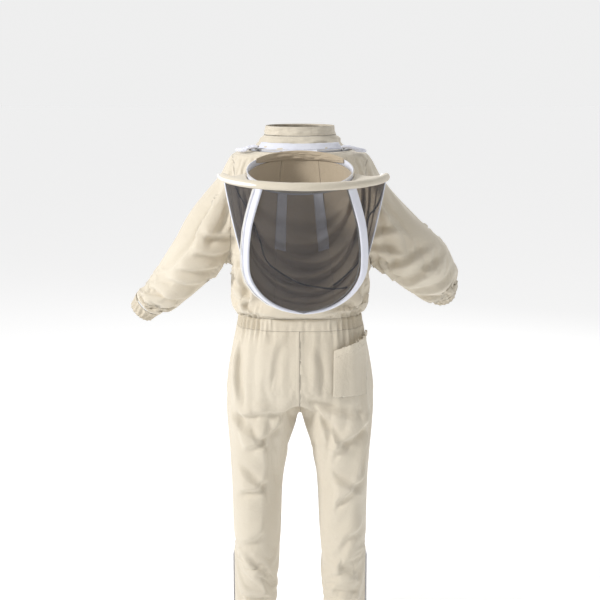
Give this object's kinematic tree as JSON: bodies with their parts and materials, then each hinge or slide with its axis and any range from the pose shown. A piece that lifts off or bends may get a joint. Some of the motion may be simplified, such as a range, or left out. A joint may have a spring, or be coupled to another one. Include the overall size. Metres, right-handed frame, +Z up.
{
  "type": "beekeeping suit",
  "caption": "Cotton coverall with sleeves, legs, elastic waist and cuffs, pockets and zips, and a hooped veil hood hinged behind the neckline, shown thrown back.",
  "frame": {"origin": "middle of the neckline ring, where the wearer's neck comes out between the shoulders", "axes": "+Z up the wearer, +Y the way the wearer faces, +X to the wearer's right"},
  "size_m": [0.9143, 0.6711, 1.474],
  "materials": {
    "ankle_cuff_left": "khaki cotton gathered on elastic",
    "ankle_cuff_right": "khaki cotton gathered on elastic",
    "ankle_zip_left": "white woven tape",
    "ankle_zip_pull_left": "die-cast zinc zip hardware",
    "ankle_zip_pull_right": "die-cast zinc zip hardware",
    "ankle_zip_right": "white woven tape",
    "ankle_zip_slider_left": "die-cast zinc zip hardware",
    "ankle_zip_slider_right": "die-cast zinc zip hardware",
    "back_pocket": "khaki cotton drill",
    "chest_pocket": "khaki cotton drill",
    "chin_panel": "khaki cotton drill",
    "collar_stand": "khaki cotton drill",
    "face_arch_rod": "springy plastic rod",
    "face_arch_tape": "white woven tape",
    "front_zip_pull": "die-cast zinc zip hardware",
    "front_zip_slider": "die-cast zinc zip hardware",
    "front_zip_tape_left": "white woven tape",
    "front_zip_tape_right": "white woven tape",
    "front_zip_teeth": "nylon zip coil",
    "hip_pocket_left": "khaki cotton drill",
    "hip_pocket_right": "khaki cotton drill",
    "hood_back_panel": "khaki cotton drill",
    "hood_hinge_tape": "white woven tape",
    "hood_patch": "khaki cotton drill",
    "hood_side_left_panel": "khaki cotton drill",
    "hood_side_right_panel": "khaki cotton drill",
    "hood_tape_left": "white woven tape",
    "hood_tape_right": "white woven tape",
    "hood_zip_tape": "white woven tape",
    "hoop_cover": "khaki cotton drill",
    "hoop_rod": "springy plastic rod",
    "neck_hinge_tape": "white woven tape",
    "neck_yoke": "khaki cotton drill",
    "neck_zip_slider_left": "die-cast zinc zip hardware",
    "neck_zip_slider_right": "die-cast zinc zip hardware",
    "neck_zip_tape": "white woven tape",
    "side_seam_binding_left": "white woven tape",
    "side_seam_binding_right": "white woven tape",
    "sleeve_cuff_left": "khaki cotton gathered on elastic",
    "sleeve_cuff_right": "khaki cotton gathered on elastic",
    "sleeve_left": "khaki cotton drill",
    "sleeve_right": "khaki cotton drill",
    "throat_tab": "khaki cotton drill",
    "throat_tab_base": "khaki cotton drill",
    "torso_back_panel": "khaki cotton drill",
    "torso_front_left_panel": "khaki cotton drill",
    "torso_front_right_panel": "khaki cotton drill",
    "trouser_back_left_panel": "khaki cotton drill",
    "trouser_back_right_panel": "khaki cotton drill",
    "trouser_front_left_panel": "khaki cotton drill",
    "trouser_front_right_panel": "khaki cotton drill",
    "veil_centre_net": "black polyester netting",
    "veil_side_net_left": "black polyester netting",
    "veil_side_net_right": "black polyester netting",
    "waist_elastic_left": "khaki cotton gathered on elastic",
    "waist_elastic_right": "khaki cotton gathered on elastic",
    "waistband_back": "khaki cotton drill",
    "waistband_front_left": "khaki cotton drill",
    "waistband_front_right": "khaki cotton drill"
  },
  "bodies": {
    "garment": {"ankle_cuff_left": "ankle_cuff_left", "ankle_cuff_right": "ankle_cuff_right", "ankle_zip_left": "ankle_zip_left", "ankle_zip_right": "ankle_zip_right", "back_pocket": "back_pocket", "chest_pocket": "chest_pocket", "collar_stand": "collar_stand", "front_zip_tape_left": "front_zip_tape_left", "front_zip_tape_right": "front_zip_tape_right", "front_zip_teeth": "front_zip_teeth", "hip_pocket_left": "hip_pocket_left", "hip_pocket_right": "hip_pocket_right", "neck_hinge_tape": "neck_hinge_tape", "neck_yoke": "neck_yoke", "neck_zip_tape": "neck_zip_tape", "sleeve_cuff_left": "sleeve_cuff_left", "sleeve_cuff_right": "sleeve_cuff_right", "sleeve_left": "sleeve_left", "sleeve_right": "sleeve_right", "throat_tab_base": "throat_tab_base", "torso_back_panel": "torso_back_panel", "torso_front_left_panel": "torso_front_left_panel", "torso_front_right_panel": "torso_front_right_panel", "trouser_back_left_panel": "trouser_back_left_panel", "trouser_back_right_panel": "trouser_back_right_panel", "trouser_front_left_panel": "trouser_front_left_panel", "trouser_front_right_panel": "trouser_front_right_panel", "waist_elastic_left": "waist_elastic_left", "waist_elastic_right": "waist_elastic_right", "waistband_back": "waistband_back", "waistband_front_left": "waistband_front_left", "waistband_front_right": "waistband_front_right"},
    "front_slider": {"front_zip_slider": "front_zip_slider"},
    "front_pull": {"front_zip_pull": "front_zip_pull"},
    "neck_slider_left": {"neck_zip_slider_left": "neck_zip_slider_left"},
    "neck_slider_right": {"neck_zip_slider_right": "neck_zip_slider_right"},
    "ankle_slider_left": {"ankle_zip_slider_left": "ankle_zip_slider_left"},
    "ankle_pull_left": {"ankle_zip_pull_left": "ankle_zip_pull_left"},
    "ankle_slider_right": {"ankle_zip_slider_right": "ankle_zip_slider_right"},
    "ankle_pull_right": {"ankle_zip_pull_right": "ankle_zip_pull_right"},
    "throat_flap": {"throat_tab": "throat_tab"},
    "hood": {"hood_zip_tape": "hood_zip_tape", "hood_hinge_tape": "hood_hinge_tape", "hoop_cover": "hoop_cover", "hoop_rod": "hoop_rod", "face_arch_tape": "face_arch_tape", "face_arch_rod": "face_arch_rod", "veil_centre_net": "veil_centre_net", "side_seam_binding_left": "side_seam_binding_left", "side_seam_binding_right": "side_seam_binding_right", "veil_side_net_left": "veil_side_net_left", "veil_side_net_right": "veil_side_net_right", "hood_back_panel": "hood_back_panel", "hood_side_left_panel": "hood_side_left_panel", "hood_side_right_panel": "hood_side_right_panel", "chin_panel": "chin_panel", "hood_tape_left": "hood_tape_left", "hood_tape_right": "hood_tape_right", "hood_patch": "hood_patch"}
  },
  "joints": [
    {"name": "hood_flip", "type": "hinge", "parent": "garment", "child": "hood", "pos_m": [0, -0.139, 0.008], "axis": [-1, 0, 0], "range_deg": [0, 195]},
    {"name": "front_zip_run", "type": "slide", "parent": "garment", "child": "front_slider", "axis": [0, 0, -1], "range_m": [0, 0.55]},
    {"name": "front_pull_swing", "type": "hinge", "parent": "front_slider", "child": "front_pull", "pos_m": [0, 0.1296, -0.0605], "axis": [1, 0, 0], "range_deg": [0, 130]},
    {"name": "neck_zip_left_run", "type": "hinge", "parent": "garment", "child": "neck_slider_left", "pos_m": [0, 0, 0.008], "axis": [0, 0, -1], "range_deg": [0, 102]},
    {"name": "neck_zip_right_run", "type": "hinge", "parent": "garment", "child": "neck_slider_right", "pos_m": [0, 0, 0.008], "axis": [0, 0, 1], "range_deg": [0, 102]},
    {"name": "ankle_zip_left_run", "type": "slide", "parent": "garment", "child": "ankle_slider_left", "axis": [0, 0, 1], "range_m": [0, 0.19]},
    {"name": "ankle_pull_left_swing", "type": "hinge", "parent": "ankle_slider_left", "child": "ankle_pull_left", "pos_m": [-0.1965, 0, -1.3385], "axis": [0, 1, 0], "range_deg": [0, 150]},
    {"name": "ankle_zip_right_run", "type": "slide", "parent": "garment", "child": "ankle_slider_right", "axis": [0, 0, 1], "range_m": [0, 0.19]},
    {"name": "ankle_pull_right_swing", "type": "hinge", "parent": "ankle_slider_right", "child": "ankle_pull_right", "pos_m": [0.1965, 0, -1.3385], "axis": [0, -1, 0], "range_deg": [0, 150]},
    {"name": "throat_tab_swing", "type": "hinge", "parent": "garment", "child": "throat_flap", "pos_m": [-0.02515, 0.141, -0.0175], "axis": [0, 0, 1], "range_deg": [0, 170]}
  ]
}
